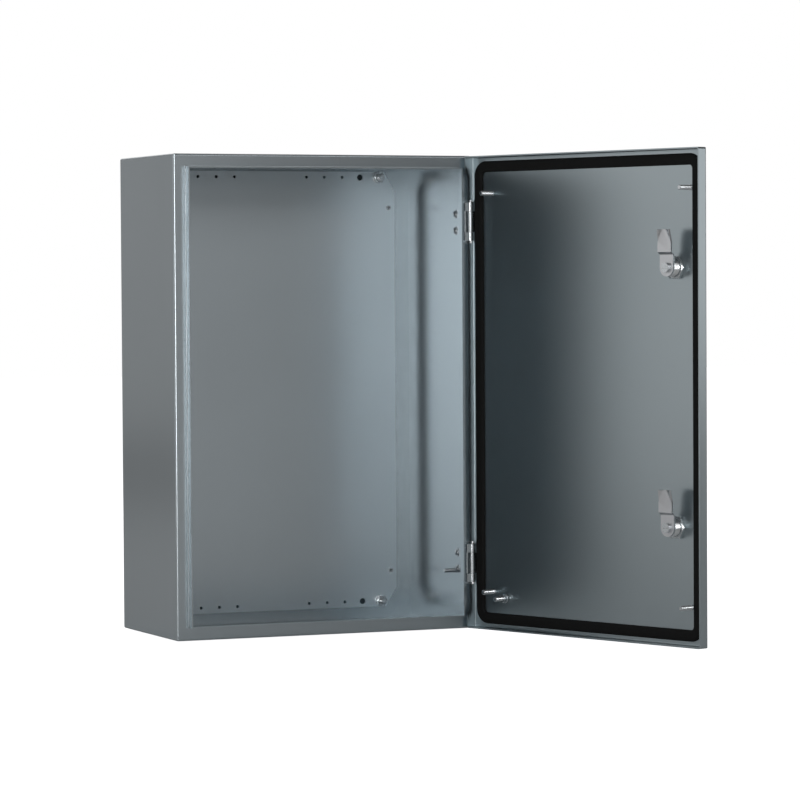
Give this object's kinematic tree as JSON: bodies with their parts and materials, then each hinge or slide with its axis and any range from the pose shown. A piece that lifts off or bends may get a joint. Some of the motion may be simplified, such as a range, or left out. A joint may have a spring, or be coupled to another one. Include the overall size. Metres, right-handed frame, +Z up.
{
  "type": "wall enclosure",
  "caption": "Sheet steel wall enclosure with a mounting plate, a side-hinged gasketed door standing open, and quarter-turn cam locks.",
  "frame": {"origin": "centre of the four wall-fixing holes, on the rear face that lies against the wall", "axes": "+X to the right seen from the front, +Y back into the wall, +Z up; the front faces -Y"},
  "size_m": [0.5372, 0.5809, 0.6],
  "materials": {
    "body_steel": "satin sheet steel",
    "door_steel": "satin sheet steel",
    "plate_steel": "satin sheet steel",
    "zinc": "bright zinc plating",
    "cam_steel": "satin zinc plating",
    "lock_metal": "bright zinc die-casting",
    "gasket": "matt foamed seal"
  },
  "bodies": {
    "body": {"body_shell": "body_steel", "rear_panel": "body_steel", "mounting_plate": "plate_steel", "plate_inserts": "zinc", "plate_studs": "zinc", "plate_spacers": "zinc", "plate_washers": "zinc", "plate_nuts": "zinc", "body_earth_stud": "zinc", "hinge_leaf_upper": "zinc", "hinge_leaf_lower": "zinc", "hinge_pin_upper": "zinc", "hinge_pin_lower": "zinc", "hinge_fixings": "zinc"},
    "door": {"door_panel": "door_steel", "door_gasket": "gasket", "door_knuckle_upper": "zinc", "door_knuckle_lower": "zinc", "door_studs": "zinc", "door_earth_stud": "zinc", "door_earth_washer": "zinc", "door_earth_nut": "zinc", "lock_upper_housing": "lock_metal", "lock_upper_seal": "gasket", "lock_upper_nut": "zinc", "lock_upper_washer": "zinc", "lock_lower_housing": "lock_metal", "lock_lower_seal": "gasket", "lock_lower_nut": "zinc", "lock_lower_washer": "zinc"},
    "upper_lock": {"lock_upper_rotor": "lock_metal", "lock_upper_cam": "cam_steel", "lock_upper_screw": "zinc"},
    "lower_lock": {"lock_lower_rotor": "lock_metal", "lock_lower_cam": "cam_steel", "lock_lower_screw": "zinc"}
  },
  "joints": [
    {"name": "door_hinge", "type": "hinge", "parent": "body", "child": "door", "pos_m": [0.1955, -0.208, 0], "axis": [0, 0, 1], "range_deg": [-110, 20]},
    {"name": "upper_lock_turn", "type": "hinge", "parent": "door", "child": "upper_lock", "pos_m": [0.32012, -0.53138, 0.156], "axis": [0.9397, 0.342, 0], "range_deg": [0, 90]},
    {"name": "lower_lock_turn", "type": "hinge", "parent": "door", "child": "lower_lock", "pos_m": [0.32012, -0.53138, -0.156], "axis": [0.9397, 0.342, 0], "range_deg": [0, 90]}
  ]
}
